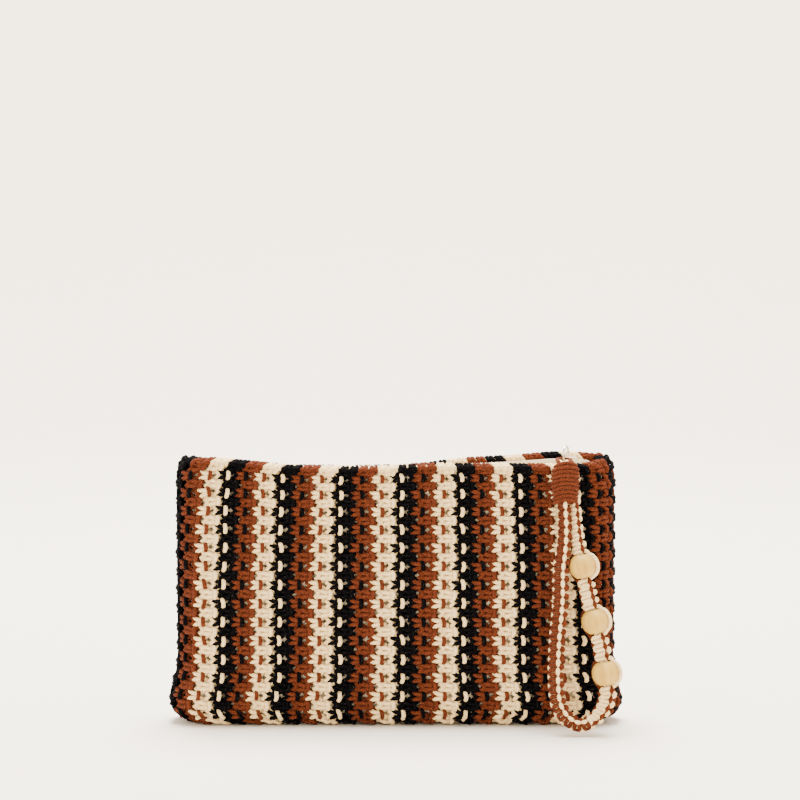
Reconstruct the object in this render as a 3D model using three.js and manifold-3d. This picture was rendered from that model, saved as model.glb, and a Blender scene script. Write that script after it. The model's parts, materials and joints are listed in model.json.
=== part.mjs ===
// Zipped pouch knotted from three colours of cord, with a lining, a zip across its mouth
// and a wrist strap that hangs from a wire ring on the zip's slider.
// Millimetres, +Z up, +X to the wearer's right of the front, the front looks along -Y.
// The origin is the middle of the flat base.
import * as THREE from "three";
import { mergeVertices } from "three/addons/utils/BufferGeometryUtils.js";
import Module from "manifold-3d";

const wasm = await Module();
wasm.setup();

// Gap between pieces that touch
const fit = 0.3;

// Pouch body
const pouch_height = 165.5;
const side_half = 134;
const ear_reach = 5;
const ear_height = 14;
const ear_spread = 14;
const lower_corner = 11;
const upper_corner = 7;
const base_half_depth = 14;
const belly_half_depth = 22;
const belly_height = 42;
const belly_fullness = 3;
const lip_half_depth = 12.5;
const shoulder_curve = 1.8;
const end_roundness = 1.15;
const lip_sag = 6.4;
const sag_flatness = 9;
const sag_fade = 8;
const wall = 5.2;
const level_crowding = 1.6;

// Rim of looped mounts over the holder cord, in stretches that part at its ends and beside the strap
const rim_height = 8;
const rim_round = 2.4;
const rim_end = 21;
const stretch_before_slider = 12.5;
const stretch_after_slider = 8.4;
const holder_diameter = 2.6;

// Lining
const lining_thickness = 1;
const tape_thickness = 0.8;

// Zip
const tape_drop = 10.8;
const tape_end_gap = 15.5;
const tape_turn_down = 9;
const tape_half_gap = 1.2;
const teeth_thickness = 1.6;
const tooth_pitch = 2.4;
const tooth_reach = 0.9;
const tooth_flare = 0.15;
const spine_inner = 2.2;
const spine_outer = 3.2;
const stop_length = 2.6;
const stop_height = 2.2;

// Slider
const slider_end_gap = 28.3;
const slider_length = 16;
const slider_nose_half = 4.9;
const slider_tail_half = 4.3;
const slider_plate = 1;
const bridge_chamfer = 0.45;
const post_length = 2.2;
const post_half = 0.8;
const bridge_span = 10.4;
const bridge_half_width = 1.2;
const bridge_bar = 1.3;
const bridge_leg = 1.2;

// Wire ring
const ring_outer = 11.5;
const ring_wire = 1.5;
const ring_yaw = THREE.MathUtils.degToRad(20);
const ring_lean = 0.5;
const ring_back = 2.5;

// Wrist strap, in its own plane: x to the right, z up along the strap from the whipping's top
const strap_drop = 5.5;
const strap_lean = THREE.MathUtils.degToRad(9.03);
const whipping_height = 24;
const whipping_cord = 1.75;
const whipping_turns = 10;
const whipping_half_width = 6.6;
const whipping_half_depth = 4.4;
const whipping_barrel = 0.8;
const tuck_radius = 1.225;
const bight_cord = 2.5;
const bight_half_width = 3.7;
const bight_overhang = 2;
const bight_gap = 0.45;
const sennit_width = 10;
const sennit_thickness = 4.2;
const sennit_corner = 0.7;
const left_turn = THREE.MathUtils.degToRad(38);
const right_turn = THREE.MathUtils.degToRad(8);
const turn_from = 0.42;
const turn_to = 0.56;
const left_pinch = 0.76;
const right_pinch = 0.5;
const pinch_run = 36;
const leg_offset = 1.2;
const filler_diameter = 5;
const bead_diameter = 16;
const bead_bore = 6.4;
const bead_flat = 1.2;
const top_bead = [10, -61.3];
const middle_bead = [17.2, -94];
const low_bead = [23.2, -124.6];
const left_leg_points = [
  [-0.9, -24],
  [-0.5, -40],
  [-1.3, -52],
  [-2.7, -63],
  [-3.2, -82],
  [-5.4, -106.5],
  [-6.1, -128.5],
  [-4.6, -143],
  [0.6, -151.8],
  [8.4, -155.7],
];
const right_leg_points = [
  [16.4, -152.4],
  [22.4, -144.6],
  [24.6, -135.5],
  low_bead,
  [21.1, -110.2],
  middle_bead,
  [13.4, -77.6],
  top_bead,
  [7.1, -44.5],
  [6.3, -34],
  [5.8, -24],
];

// Facets
const straight_steps = 12;
const arc_steps = 8;
const rim_steps = 6;
const rim_leg_steps = 3;
const ring_steps = 32;
const wire_sides = 10;
const turn_steps = 24;
const whipping_sides = 6;
const sennit_sides = 12;
const long_sennit_steps = 48;
const short_sennit_steps = 5;
const bead_steps = 10;
const bead_sides = 22;
const loop_samples = 400;

const finish = (color, roughness, metalness = 0) =>
  new THREE.MeshStandardMaterial({ color, roughness, metalness });
const rust_cord = finish(0xa4532f, 0.85);
const cream_cord = finish(0xeadfc6, 0.85);
const black_cord = finish(0x1f1d20, 0.8);
const lining_cloth = finish(0xefe7d4, 0.9);
const zip_tape = finish(0xf1ead9, 0.85);
const zip_nylon = finish(0xf4efe2, 0.45);
const steel = finish(0xc9c9c6, 0.25, 1);
const bead_wood = finish(0xdcc093, 0.6);

// Mesh helpers
const model = new THREE.Group();

function place(name, geometry, material, parent = model) {
  const mesh = new THREE.Mesh(geometry, material);
  mesh.name = name;
  parent.add(mesh);
  return mesh;
}

function toSolid(geometry) {
  const bare = geometry.clone();
  bare.deleteAttribute("normal");
  bare.deleteAttribute("uv");
  const merged = mergeVertices(bare, 1e-4);
  return new wasm.Manifold(
    new wasm.Mesh({
      numProp: 3,
      vertProperties: new Float32Array(merged.attributes.position.array),
      triVerts: new Uint32Array(merged.index.array),
    }),
  );
}

function fromSolid(solid) {
  const mesh = solid.getMesh();
  const geometry = new THREE.BufferGeometry();
  geometry.setAttribute("position", new THREE.BufferAttribute(mesh.vertProperties, 3));
  geometry.setIndex(new THREE.BufferAttribute(mesh.triVerts, 1));
  return geometry;
}

// Skin over rings of equally many points; the ends are capped, or the last ring joins the first.
function skin(rings, joined = false) {
  const count = rings[0].length;
  const points = rings.flat();
  const index = [];
  const spans = joined ? rings.length : rings.length - 1;
  for (let i = 0; i < spans; i++) {
    const here = i * count;
    const next = ((i + 1) % rings.length) * count;
    for (let j = 0; j < count; j++) {
      const k = (j + 1) % count;
      index.push(here + j, here + k, next + k, here + j, next + k, next + j);
    }
  }
  if (!joined) {
    const middle = (ring) =>
      ring.reduce((sum, p) => sum.add(p), new THREE.Vector3()).divideScalar(count);
    const last = (rings.length - 1) * count;
    const first_middle = points.push(middle(rings[0])) - 1;
    const last_middle = points.push(middle(rings[rings.length - 1])) - 1;
    for (let j = 0; j < count; j++) {
      const k = (j + 1) % count;
      index.push(first_middle, k, j, last_middle, last + j, last + k);
    }
  }
  const geometry = new THREE.BufferGeometry().setFromPoints(points);
  geometry.setIndex(index);
  return geometry;
}

// Outline of the body
const edgeDrop = (share) => 1 - Math.sqrt(Math.max(0, 1 - share * share));

function halfDepth(z) {
  if (z < belly_height) {
    const below = (1 - Math.max(0, z) / belly_height) ** belly_fullness;
    const full = (1 - below) ** (1 / belly_fullness);
    return base_half_depth + (belly_half_depth - base_half_depth) * full;
  }
  const up = (z - belly_height) / (pouch_height - belly_height);
  return lip_half_depth + (belly_half_depth - lip_half_depth) * (1 - up ** shoulder_curve);
}

function halfWidth(z) {
  const ear = ear_reach * Math.exp(-(((z - ear_height) / ear_spread) ** 2));
  const low = lower_corner * edgeDrop(Math.max(0, 1 - Math.max(0, z) / lower_corner));
  const from_top = Math.min(1, (z - pouch_height + upper_corner) / upper_corner);
  const high = upper_corner * edgeDrop(Math.max(0, from_top));
  return side_half + ear - low - high;
}

// The mouth sags between its corners.
function sagged(x, z) {
  const sag = lip_sag * Math.max(0, 1 - Math.abs(x / side_half) ** sag_flatness);
  return z - sag * (Math.max(0, z) / pouch_height) ** sag_fade;
}

// Where the outline turns from straight to the rounded end, share 0, and its end, share 1
function wallPoint(side, share, angle, z, inset) {
  const end_run = end_roundness * halfDepth(z);
  const width = halfWidth(z) - inset;
  const turn_x = width + inset - end_run;
  const x = side === 0 ? turn_x * share : Math.sign(share) * turn_x + side * (end_run - inset) *
    Math.cos(angle);
  const height = sagged(x, z);
  const depth = halfDepth(height) - inset;
  const y = side === 0 ? Math.sign(angle) * depth : depth * Math.sin(angle);
  return new THREE.Vector3(x, y, height);
}

// One closed outline at a nominal height, counter-clockwise from above
function outline(z, inset = 0) {
  const points = [];
  for (let i = 0; i < straight_steps; i++) {
    points.push(wallPoint(0, (2 * i) / straight_steps - 1, -1, z, inset));
  }
  for (let i = 0; i < arc_steps; i++) {
    points.push(wallPoint(1, 1, Math.PI * (i / arc_steps - 0.5), z, inset));
  }
  for (let i = 0; i < straight_steps; i++) {
    points.push(wallPoint(0, 1 - (2 * i) / straight_steps, 1, z, inset));
  }
  for (let i = 0; i < arc_steps; i++) {
    points.push(wallPoint(-1, -1, Math.PI * (0.5 - i / arc_steps), z, inset));
  }
  return points;
}

// Heights crowd towards the rounded bottom and stop at the top.
function levels(bottom, top, count) {
  const heights = [];
  for (let i = 0; i <= count; i++) {
    heights.push(bottom + (top - bottom) * (i / count) ** level_crowding);
  }
  return heights;
}

// Open-topped bag between two insets of the body's outline
function bag(outer_inset, inner_inset, floor, floor_thickness, top, count) {
  const outside = levels(floor, top, count).map((z) => outline(z, outer_inset));
  const inside = levels(floor + floor_thickness, top, count).map((z) => outline(z, inner_inset));
  return skin([...outside, ...inside.reverse()]);
}

const polygon = (points) => new THREE.Shape(points.map(([x, y]) => new THREE.Vector2(x, y)));

const rectangle = (from_x, to_x, from_y, to_y) =>
  polygon([
    [from_x, from_y],
    [to_x, from_y],
    [to_x, to_y],
    [from_x, to_y],
  ]);

// Shape drawn in X and Y, raised from one height to another
function raised(shape, from, to) {
  const geometry = new THREE.ExtrudeGeometry(shape, {
    depth: to - from,
    bevelEnabled: false,
  });
  geometry.translate(0, 0, from);
  return geometry;
}

// Knotted shell, its rim and the cord that the rim is looped over
const shell_top = pouch_height - rim_height;
place("knotted_shell", bag(0, wall, 0, wall, shell_top, 12), black_cord);

const rim_leg = (wall - holder_diameter - 2 * fit) / 2;
const rim_bottom = shell_top + fit;
const channel_top = pouch_height - rim_leg - rim_round / 2;

function rimLeg(inset, from, to) {
  const points = [];
  for (let i = 0; i <= rim_leg_steps; i++) {
    points.push([inset, from + ((to - from) * i) / rim_leg_steps]);
  }
  return points;
}

const rim_profile = [
  ...rimLeg(0, pouch_height - rim_round - fit, rim_bottom),
  ...rimLeg(rim_leg, rim_bottom, channel_top),
  ...rimLeg(wall - rim_leg, channel_top, rim_bottom),
  ...rimLeg(wall, rim_bottom, pouch_height - rim_round - fit),
];
for (let i = 0; i <= rim_steps; i++) {
  const angle = (Math.PI * i) / rim_steps;
  const across = wall / 2 + (wall / 2) * Math.cos(angle);
  rim_profile.push([across, pouch_height - rim_round + rim_round * Math.sin(angle)]);
}
const rim_rings = rim_profile.reverse().map(([inset, z]) => outline(z, inset));
const rim = toSolid(skin(rim_rings, true));

// A stretch of the rim between two places along X, on the front, side -1, the back, 1, or round an end
function rimStretch(name, from, to, side) {
  const reach = 2 * belly_half_depth;
  const front = side === 1 ? 0 : -reach;
  const back = side === -1 ? 0 : reach;
  const cutter = raised(
    rectangle(from + fit / 2, to - fit / 2, front, back),
    rim_bottom - rim_height,
    pouch_height + rim_height,
  );
  place(name, fromSolid(rim.intersect(toSolid(cutter))), rust_cord);
}

const slider_x = side_half - slider_end_gap;
const ring_x = slider_x - ring_back;
const rim_end_cut = side_half - rim_end;
const inner_cut = ring_x - stretch_before_slider;
const outer_cut = ring_x + stretch_after_slider;
rimStretch("rim_left_end", -2 * side_half, -rim_end_cut, 0);
rimStretch("rim_front_left", -rim_end_cut, -inner_cut, -1);
rimStretch("rim_front", -inner_cut, inner_cut, -1);
rimStretch("rim_front_right", inner_cut, outer_cut, -1);
rimStretch("rim_right_end", outer_cut, 2 * side_half, 0);
rimStretch("rim_back", -rim_end_cut, outer_cut, 1);

const holder_height = channel_top - fit - holder_diameter / 2;
const holder_rings = [];
for (let i = 0; i < 8; i++) {
  const angle = (2 * Math.PI * i) / 8;
  const inset = wall / 2 + (holder_diameter / 2) * Math.cos(angle);
  holder_rings.push(outline(holder_height - (holder_diameter / 2) * Math.sin(angle), inset));
}
place("holder_cord", skin(holder_rings, true), cream_cord);

// Lining, hung on the zip tapes that are sewn between it and the shell
const tape_top_height = pouch_height - tape_drop;
const tape_bottom = tape_top_height - tape_thickness;
const lining_inset = wall + 2 * fit + tape_thickness;
place(
  "lining",
  bag(
    lining_inset,
    lining_inset + lining_thickness,
    wall + fit,
    lining_thickness,
    tape_bottom - fit,
    9,
  ),
  lining_cloth,
);

// Zip tapes: a flat strip beside the teeth, turned down behind the lining
const tape_half_length = side_half - tape_end_gap;

function tapeShape(side) {
  const steps = 4;
  const inner = [];
  const outer = [];
  for (let i = 0; i <= steps; i++) {
    const z = tape_top_height - (tape_turn_down * i) / steps;
    const edge = halfDepth(z) - wall - fit;
    outer.push([edge, z]);
    if (i > 0) {
      inner.unshift([edge - tape_thickness, z]);
    }
  }
  const elbow = halfDepth(tape_bottom) - wall - fit - tape_thickness;
  const points = [[tape_half_gap, tape_top_height], ...outer, ...inner];
  points.push([elbow, tape_bottom], [tape_half_gap, tape_bottom]);
  return new THREE.Shape(points.map(([y, z]) => new THREE.Vector2(side * y, z)));
}

// Shape drawn in Y and Z, run along X from one place to another
function alongX(shape, from, to) {
  const geometry = new THREE.ExtrudeGeometry(shape, {
    depth: to - from,
    bevelEnabled: false,
  });
  geometry.rotateX(Math.PI / 2);
  geometry.rotateZ(Math.PI / 2);
  geometry.translate(from, 0, 0);
  return geometry;
}

place("tape_front", alongX(tapeShape(-1), -tape_half_length, tape_half_length), zip_tape);
place("tape_back", alongX(tapeShape(1), -tape_half_length, tape_half_length), zip_tape);

// Zip teeth: two combs whose teeth lie between each other's
const teeth_bottom = tape_top_height + fit;
const teeth_top = teeth_bottom + teeth_thickness;
const slider_front = slider_x + slider_length / 2;
const post_start = slider_front - post_length - slider_plate / 2;
const teeth_right = post_start - fit;
const teeth_left = -tape_half_length + 3 * stop_length;
const tooth_count = Math.floor((teeth_right - teeth_left) / tooth_pitch);

function comb(side, shift) {
  const tooth_width = tooth_pitch / 2 - fit;
  const points = [
    [teeth_right, side * spine_outer],
    [teeth_left, side * spine_outer],
    [teeth_left, side * spine_inner],
  ];
  for (let i = 0; i < tooth_count; i++) {
    const middle = teeth_left + tooth_pitch * (i + shift);
    const root = tooth_width / 2 - tooth_flare / 2;
    const head = tooth_width / 2 + tooth_flare / 2;
    points.push([middle - root, side * spine_inner], [middle - head, -side * tooth_reach]);
    points.push([middle + head, -side * tooth_reach], [middle + root, side * spine_inner]);
  }
  points.push([teeth_right, side * spine_inner]);
  return raised(polygon(points), teeth_bottom, teeth_top);
}

place("teeth_front", comb(-1, 0.25), zip_nylon);
place("teeth_back", comb(1, 0.75), zip_nylon);

// Stops: one at the closed end of each tape, and one across both at the far end
function stop(from, to, inner, outer, height) {
  const shape = polygon([
    [from, inner],
    [to, inner],
    [to, outer],
    [from, outer],
  ]);
  return raised(shape, teeth_bottom, teeth_bottom + height);
}

const top_stop_start = slider_front + fit;
const top_stop_end = top_stop_start + stop_length;
place(
  "top_stop_front",
  stop(top_stop_start, top_stop_end, -spine_outer, -tape_half_gap, stop_height),
  zip_nylon,
);
place(
  "top_stop_back",
  stop(top_stop_start, top_stop_end, tape_half_gap, spine_outer, stop_height),
  zip_nylon,
);
place(
  "bottom_stop",
  stop(
    teeth_left - fit - stop_length,
    teeth_left - fit,
    -spine_outer,
    spine_outer,
    stop_height,
  ),
  zip_nylon,
);

// Slider: two plates joined by a post, lips that hold the tapes, and a bridge for the ring
const plate_bottom = teeth_top + fit;
const plate_top = plate_bottom + slider_plate;
const under_top = tape_bottom - fit;
const under_bottom = under_top - slider_plate;
const channel_half = spine_outer + fit;
const slider_back = slider_x - slider_length / 2;

function sliderOutline(narrower = 0) {
  const nose = slider_nose_half - narrower;
  const tail = slider_tail_half - narrower;
  return polygon([
    [slider_back, -tail],
    [slider_x, -tail],
    [slider_front - slider_plate, -nose],
    [slider_front, -nose + slider_plate],
    [slider_front, nose - slider_plate],
    [slider_front - slider_plate, nose],
    [slider_x, tail],
    [slider_back, tail],
  ]);
}

const ring_radius = (ring_outer - ring_wire) / 2;
const bar_reach = Math.hypot(bridge_half_width, bridge_bar / 2);
const bar_drop = ring_radius - ring_wire / 2 - bar_reach - fit;
const bar_height = plate_top + (ring_radius - bar_drop) + ring_wire / 2 + fit;
const ring_height = bar_height + Math.sqrt(bar_drop ** 2 - ring_lean ** 2);

const channel = toSolid(
  raised(
    rectangle(slider_back - fit, slider_front + fit, -channel_half, channel_half),
    under_top,
    plate_bottom,
  ),
);
const tape_slot = toSolid(
  raised(
    rectangle(slider_back - fit, slider_front + fit, -2 * slider_nose_half, 2 * slider_nose_half),
    under_top,
    tape_top_height + fit,
  ),
);
const bridge_from = slider_x - bridge_span / 2;
const bridge_to = slider_x + bridge_span / 2;
const bridge = new THREE.Shape([
  new THREE.Vector2(bridge_from, plate_top - slider_plate / 2),
  new THREE.Vector2(bridge_to, plate_top - slider_plate / 2),
  new THREE.Vector2(bridge_to, bar_height - bridge_bar / 2),
  new THREE.Vector2(bridge_to - bridge_leg, bar_height + bridge_bar / 2),
  new THREE.Vector2(bridge_from + bridge_leg, bar_height + bridge_bar / 2),
  new THREE.Vector2(bridge_from, bar_height - bridge_bar / 2),
]);
bridge.holes.push(
  new THREE.Path([
    new THREE.Vector2(bridge_from + bridge_leg, plate_top),
    new THREE.Vector2(bridge_from + bridge_leg, bar_height - bridge_bar / 2 - bridge_chamfer),
    new THREE.Vector2(bridge_from + 2 * bridge_leg, bar_height - bridge_bar / 2),
    new THREE.Vector2(bridge_to - 2 * bridge_leg, bar_height - bridge_bar / 2),
    new THREE.Vector2(bridge_to - bridge_leg, bar_height - bridge_bar / 2 - bridge_chamfer),
    new THREE.Vector2(bridge_to - bridge_leg, plate_top),
  ]),
);
const bridge_geometry = new THREE.ExtrudeGeometry(bridge, {
  depth: 2 * bridge_half_width,
  bevelEnabled: false,
});
bridge_geometry.rotateX(Math.PI / 2);
bridge_geometry.translate(0, bridge_half_width, 0);
const post = toSolid(
  raised(
    rectangle(post_start, post_start + post_length, -post_half, post_half),
    under_top - slider_plate / 2,
    plate_bottom + slider_plate / 2,
  ),
);
const slider_body = toSolid(raised(sliderOutline(), under_bottom, plate_top))
  .subtract(channel)
  .subtract(tape_slot)
  .add(post)
  .add(toSolid(bridge_geometry));
place("slider", fromSolid(slider_body), steel);

// Ring through the bridge, held upright by the strap
const ring_group = new THREE.Group();
ring_group.position.set(ring_x, -ring_lean, ring_height);
ring_group.rotation.set(0, 0, -ring_yaw);
model.add(ring_group);
const ring_profile = [];
for (let i = 0; i <= wire_sides; i++) {
  const angle = (2 * Math.PI * i) / wire_sides;
  ring_profile.push(
    new THREE.Vector2(
      ring_radius + (ring_wire / 2) * Math.cos(angle),
      (ring_wire / 2) * Math.sin(angle),
    ),
  );
}
const ring_geometry = new THREE.LatheGeometry(ring_profile, ring_steps);
ring_geometry.rotateZ(Math.PI / 2);
place("ring", ring_geometry, steel, ring_group);

// Tube of round section with flat ends, along points
function tube(points, diameter, sides) {
  const rings = [];
  const start = points[1].clone().sub(points[0]);
  const upright = Math.abs(start.z) > Math.abs(start.y);
  let across = upright ? new THREE.Vector3(0, 1, 0) : new THREE.Vector3(0, 0, 1);
  for (let i = 0; i < points.length; i++) {
    const before = points[Math.max(0, i - 1)];
    const after = points[Math.min(points.length - 1, i + 1)];
    const along = after.clone().sub(before).normalize();
    across = across.sub(along.clone().multiplyScalar(across.dot(along))).normalize();
    const other = along.clone().cross(across);
    const ring = [];
    for (let j = 0; j < sides; j++) {
      const angle = (2 * Math.PI * j) / sides;
      const point = points[i].clone();
      point.addScaledVector(across, (diameter / 2) * Math.cos(angle));
      point.addScaledVector(other, (diameter / 2) * Math.sin(angle));
      ring.push(point);
    }
    rings.push(ring);
  }
  return skin(rings);
}

// Strap group: its x and z lie in the plane that leans on the pouch's front
const strap_top_height = pouch_height - strap_drop;
const strap_x = ring_x - ring_radius * Math.sin(ring_yaw);
const strap_depth = halfDepth(strap_top_height) + 2 * fit + whipping_half_depth + whipping_cord / 2;
const strap = new THREE.Group();
strap.position.set(strap_x, -strap_depth, strap_top_height);
strap.rotation.set(-strap_lean, 0, 0);
model.add(strap);
model.updateMatrixWorld(true);

// Bights: two hairpins of cord round the ring's front, over the rim and down into the whipping
const ring_front_y = -ring_lean - ring_radius * Math.cos(ring_yaw);
const bight_back = ring_front_y + ring_wire / 2 + bight_gap + bight_cord / 2;

// Places on a bight's leg: share of its half width, of the way in to the rim and of its rise
const bight_stations = [
  [0.8, 0, 0],
  [0.8, 0, 0.3],
  [0.85, 0.35, 0.8],
  [0.92, 1, 1],
];

function bight(height, inward) {
  const radius = bight_half_width;
  const bend_y = -halfDepth(pouch_height) - bight_overhang;
  const leg_y = -strap_depth + inward;
  const leg_end = strap_top_height + 2 * fit;
  const leg = (side) => [
    ...bight_stations.map(([narrow, way, rise]) => [
      side * radius * narrow,
      leg_y + way * (bend_y - leg_y),
      leg_end + rise * (height - leg_end),
    ]),
    [side * radius, bight_back - radius, height],
  ];
  const points = leg(-1);
  for (let i = 1; i < arc_steps; i++) {
    const angle = Math.PI * (1 - i / arc_steps);
    points.push([
      radius * Math.cos(angle),
      bight_back - radius + radius * Math.sin(angle),
      height,
    ]);
  }
  points.push(...leg(1).reverse());
  return tube(
    points.map(([x, y, z]) => new THREE.Vector3(strap_x + x, y, z)),
    bight_cord,
    8,
  );
}

const bight_rise = (bight_cord + fit) / 2;
place("rust_bight", bight(ring_height + bight_rise, -bight_rise), rust_cord);
place("cream_bight", bight(ring_height - bight_rise, bight_rise), cream_cord);

// Bundle of the strap's cords inside the whipping, swelling in the middle
const barrel = (share) => whipping_barrel * Math.sin(Math.PI * share);
const bundle_gap = whipping_cord / 2 + fit;

function bundleRing(share) {
  const ring = [];
  for (let i = 0; i < turn_steps; i++) {
    const angle = (2 * Math.PI * i) / turn_steps;
    ring.push(
      new THREE.Vector3(
        (whipping_half_width + barrel(share) - bundle_gap) * Math.cos(angle),
        (whipping_half_depth + barrel(share) - bundle_gap) * Math.sin(angle),
        whipping_height * (share - 1),
      ),
    );
  }
  return ring;
}

const bundle_rings = [];
for (let i = 0; i <= 6; i++) {
  bundle_rings.push(bundleRing(i / 6));
}

// Whipping: one cord wound round the bundle, its ends tucked straight in
const coil_pitch = (whipping_height - whipping_cord) / whipping_turns;

function coilPoint(turn) {
  const angle = 2 * Math.PI * turn + Math.PI / 2;
  const drop = whipping_cord / 2 + coil_pitch * turn;
  const share = 1 - drop / whipping_height;
  return new THREE.Vector3(
    (whipping_half_width + barrel(share)) * Math.cos(angle),
    (whipping_half_depth + barrel(share)) * Math.sin(angle),
    -drop,
  );
}

function tuck(turn, direction) {
  const end = coilPoint(turn);
  const step = coilPoint(turn + direction * 0.01).sub(end);
  const along = step.normalize();
  const inward = new THREE.Vector3(0, -Math.sign(end.y), 0);
  const points = [];
  const middle = end.clone().addScaledVector(inward, tuck_radius);
  const straight = middle.clone().addScaledVector(along, -tuck_radius);
  points.push(straight.clone().addScaledVector(inward, whipping_cord));
  points.push(straight);
  for (let i = 1; i < 3; i++) {
    const angle = (Math.PI / 2) * (i / 3);
    const point = middle.clone().addScaledVector(along, -tuck_radius * Math.cos(angle));
    points.push(point.addScaledVector(inward, -tuck_radius * Math.sin(angle)));
  }
  return points;
}

const coil_points = [...tuck(0, 1)];
for (let i = 0; i <= turn_steps * whipping_turns; i++) {
  coil_points.push(coilPoint(i / turn_steps));
}
const tail = tuck(whipping_turns, -1).reverse();
coil_points.push(...tail);

// Least gap between stretches of the cord that are further apart than three diameters along it
function leastGap(points, diameter) {
  const run = [0];
  for (let i = 1; i < points.length; i++) {
    run.push(run[i - 1] + points[i].distanceTo(points[i - 1]));
  }
  let least = Infinity;
  for (let i = 0; i < points.length; i++) {
    for (let j = i + 1; j < points.length; j++) {
      if (run[j] - run[i] > 3 * diameter) {
        const segment = new THREE.Line3(points[j - 1], points[j]);
        const near = segment.closestPointToPoint(points[i], true, new THREE.Vector3());
        least = Math.min(least, near.distanceTo(points[i]) - diameter);
      }
    }
  }
  return least;
}

console.log("whipping: least gap to itself " + leastGap(coil_points, whipping_cord).toFixed(2));
place("whipping", tube(coil_points, whipping_cord, whipping_sides), rust_cord, strap);

// Sockets in the bundle for the cord's tucked ends
function socket(end, bend) {
  const outward = bend.clone().sub(end).normalize();
  const from = end.clone().addScaledVector(outward, -fit);
  const to = bend.clone().addScaledVector(outward, tuck_radius);
  return toSolid(tube([from, to], whipping_cord + 2 * fit, 12));
}

const bundle = toSolid(skin(bundle_rings))
  .subtract(socket(coil_points[0], coil_points[1]))
  .subtract(socket(tail[tail.length - 1], tail[tail.length - 2]));
place("cord_bundle", fromSolid(bundle), cream_cord, strap);

// Sennits: flat knotted cords between the whipping and the beads, the long one round the loop
const bead_points = [top_bead, middle_bead, low_bead];
const fade = (z) => THREE.MathUtils.smoothstep(z, top_bead[1], -whipping_height);
const onStrap = (points, side) =>
  points.map(([x, z]) => new THREE.Vector3(x, side * leg_offset * fade(z), z));
const loop_curve = new THREE.CatmullRomCurve3([
  ...onStrap(left_leg_points, -1),
  ...onStrap(right_leg_points, 1),
]);
const loop_points = loop_curve.getSpacedPoints(loop_samples);

function nearest(point) {
  let best = 0;
  for (let i = 0; i < loop_points.length; i++) {
    if (loop_points[i].distanceTo(point) < loop_points[best].distanceTo(point)) {
      best = i;
    }
  }
  return best / (loop_points.length - 1);
}

const loop_length = loop_curve.getLength();

// The sennit's face turns at the foot of the loop, and near the whipping its two legs are pinched.
function faceNormal(at) {
  const share = THREE.MathUtils.smoothstep(at, turn_from, turn_to);
  const turn = THREE.MathUtils.lerp(left_turn, right_turn, share);
  return new THREE.Vector3(-Math.sin(turn), -Math.cos(turn), 0);
}

function pinch(at) {
  const from_start = Math.min(1, (at * loop_length) / pinch_run);
  const from_end = Math.min(1, ((1 - at) * loop_length) / pinch_run);
  return (
    THREE.MathUtils.lerp(left_pinch, 1, from_start) *
    THREE.MathUtils.lerp(right_pinch, 1, from_end)
  );
}

const bead_places = bead_points.map(([x, z]) => nearest(new THREE.Vector3(x, 0, z)));

// Section of a sennit at a place on the loop, as a rounded bar or the round filler cords
function sennitRing(at, half_width, half_thickness) {
  const along = loop_curve.getTangentAt(at);
  const face = faceNormal(at);
  const normal = face.addScaledVector(along, -face.dot(along)).normalize();
  const across = normal.clone().cross(along);
  const ring = [];
  for (let i = 0; i < sennit_sides; i++) {
    const angle = (2 * Math.PI * i) / sennit_sides;
    const point = loop_curve.getPointAt(at);
    const square = (value) => Math.sign(value) * Math.abs(value) ** sennit_corner;
    point.addScaledVector(across, half_width * square(Math.cos(angle)));
    point.addScaledVector(normal, half_thickness * square(Math.sin(angle)));
    ring.push(point);
  }
  return ring;
}

// A stretch of sennit; at a bead its filler cords run on into the bore, to the middle
function sennit(from, to, bead_from, bead_to, steps) {
  const bead_run = (bead_diameter / 2 - bead_flat + fit) / loop_length;
  const nose = (fit / 2) / loop_length;
  const filler = filler_diameter / 2;
  const rings = [];
  const body_from = bead_from ? from + bead_run : from;
  const body_to = bead_to ? to - bead_run : to;
  if (bead_from) {
    rings.push(sennitRing(from + nose, filler, filler));
    rings.push(sennitRing(body_from, filler, filler));
  }
  for (let i = 0; i <= steps; i++) {
    const at = body_from + ((body_to - body_from) * i) / steps;
    rings.push(sennitRing(at, (pinch(at) * sennit_width) / 2, sennit_thickness / 2));
  }
  if (bead_to) {
    rings.push(sennitRing(body_to, filler, filler));
    rings.push(sennitRing(to - nose, filler, filler));
  }
  return skin(rings);
}

const start_gap = (2 * fit) / loop_length;
const [place_1, place_2, place_3] = bead_places;
place("long_sennit", sennit(start_gap, place_3, false, true, long_sennit_steps), cream_cord, strap);
place("sennit_3", sennit(place_3, place_2, true, true, short_sennit_steps), cream_cord, strap);
place("sennit_2", sennit(place_2, place_1, true, true, short_sennit_steps), cream_cord, strap);
place("sennit_1", sennit(place_1, 1 - start_gap, true, false, short_sennit_steps), cream_cord, strap);

// Beads: turned wooden balls, flat at the two ends of the bore
const bead_profile = [];
const bead_radius = bead_diameter / 2;
const bead_end = bead_radius - bead_flat;
const flat_angle = Math.asin(bead_end / bead_radius);
bead_profile.push(new THREE.Vector2(bead_bore / 2, -bead_end));
for (let i = 0; i <= bead_steps; i++) {
  const angle = flat_angle * ((2 * i) / bead_steps - 1);
  bead_profile.push(
    new THREE.Vector2(bead_radius * Math.cos(angle), bead_radius * Math.sin(angle)),
  );
}
bead_profile.push(new THREE.Vector2(bead_bore / 2, bead_end));
bead_profile.push(bead_profile[0].clone());
bead_places.forEach((at, i) => {
  const bead = place(
    "bead_" + (i + 1),
    new THREE.LatheGeometry(bead_profile, bead_sides),
    bead_wood,
    strap,
  );
  bead.position.copy(loop_curve.getPointAt(at));
  bead.quaternion.setFromUnitVectors(
    new THREE.Vector3(0, 1, 0),
    loop_curve.getTangentAt(at),
  );
});

export default model;
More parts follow.
